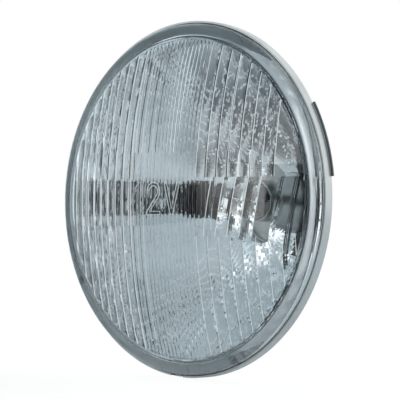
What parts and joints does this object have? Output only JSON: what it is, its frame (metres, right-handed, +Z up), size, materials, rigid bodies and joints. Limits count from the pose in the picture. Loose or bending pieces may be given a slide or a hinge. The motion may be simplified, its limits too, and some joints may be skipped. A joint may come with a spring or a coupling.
{
  "type": "round motorcycle headlight",
  "caption": "Round headlight insert: fluted glass lens bonded into a pressed steel reflector with a clipped twin-filament bulb.",
  "frame": {"origin": "on the lamp's axis, midway along the straight outside wall of the metal rim", "axes": "+Z up, the lens faces -Y, the lamp's axis along Y"},
  "size_m": [0.161, 0.1, 0.16],
  "materials": {
    "lens_glass": "clear moulded glass",
    "sealant": "dark brown cured sealant",
    "reflector_metal": "bright metallised steel",
    "plated_steel": "zinc plated",
    "spring_wire": "bright spring wire",
    "cement": "matt cement",
    "bulb_glass": "clear, with a black painted tip",
    "inner_metal": "grey wire and foil",
    "insulator": "matt moulded insulator",
    "terminal_metal": "tinned brass"
  },
  "bodies": {
    "lamp": {"lens": "lens_glass", "seal_bead": "sealant", "reflector": "reflector_metal", "bulb_holder": "plated_steel", "bulb_flange": "plated_steel", "bulb_sleeve": "plated_steel", "bulb_cement": "cement", "bulb_glass": "bulb_glass", "shield_cup": "inner_metal", "filament_high": "inner_metal", "filament_low": "inner_metal", "lead_high": "inner_metal", "lead_low": "inner_metal", "lead_ground": "inner_metal", "base_shell": "plated_steel", "base_insulator": "insulator", "terminal_high": "terminal_metal", "terminal_low": "terminal_metal", "terminal_ground": "terminal_metal"},
    "clip": {"bulb_clip": "spring_wire"}
  },
  "joints": [
    {"name": "clip_hinge", "type": "hinge", "parent": "lamp", "child": "clip", "pos_m": [0, 0.05806, 0.028], "axis": [1, 0, 0], "range_deg": [0, 100]}
  ]
}
